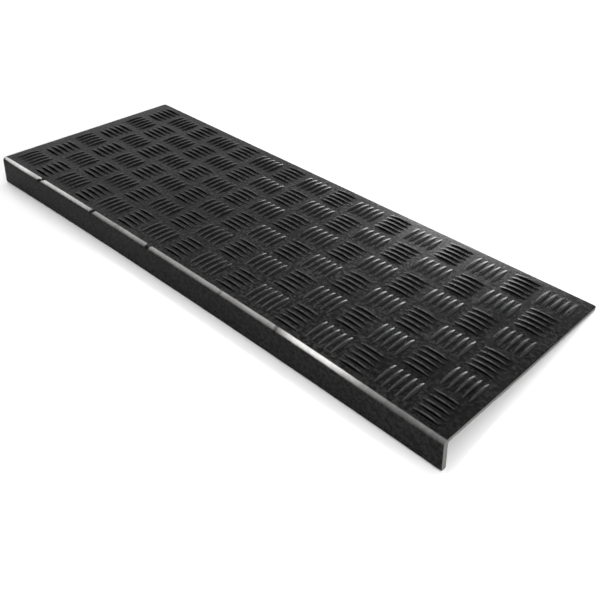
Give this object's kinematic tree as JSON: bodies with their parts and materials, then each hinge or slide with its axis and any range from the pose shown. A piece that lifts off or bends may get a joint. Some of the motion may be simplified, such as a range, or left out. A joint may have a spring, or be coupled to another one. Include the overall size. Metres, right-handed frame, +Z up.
{
  "type": "stair tread mat",
  "caption": "Black rubber stair tread mat with a chequered raised bar grip and a front lip that hooks over the nose of the step.",
  "frame": {"origin": "middle of the sheet's flat underside, where the mat lies on the tread", "axes": "+X along the length of the mat across the stair, +Y towards the riser behind the tread, +Z up out of the gripping face; the lip hangs down at the front, at -Y"},
  "size_m": [0.65, 0.25, 0.035],
  "materials": {
    "rubber": "moulded matt with a faint sheen"
  },
  "bodies": {
    "root": {"tread_mat": "rubber"}
  },
  "joints": []
}
